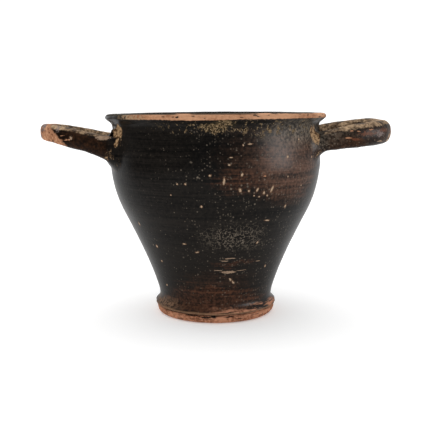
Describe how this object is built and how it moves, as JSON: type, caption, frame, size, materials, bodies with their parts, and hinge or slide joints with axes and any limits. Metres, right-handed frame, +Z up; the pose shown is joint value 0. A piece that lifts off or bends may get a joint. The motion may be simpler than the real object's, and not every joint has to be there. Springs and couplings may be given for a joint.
{
  "type": "skyphos",
  "caption": "Deep black-gloss pottery drinking cup with a turned-out lip, a ring foot and a horizontal loop handle on either side.",
  "frame": {"origin": "centre of the foot's standing face", "axes": "+Z up along the cup's axis, with the two handles along X, and the side that the picture shows facing -Y"},
  "size_m": [0.1741, 0.1094, 0.1004],
  "materials": {
    "black_gloss_clay": "semi-gloss black slip over orange clay, worn through at the rim, foot and handle tips"
  },
  "bodies": {
    "root": {"skyphos": "black_gloss_clay"}
  },
  "joints": []
}
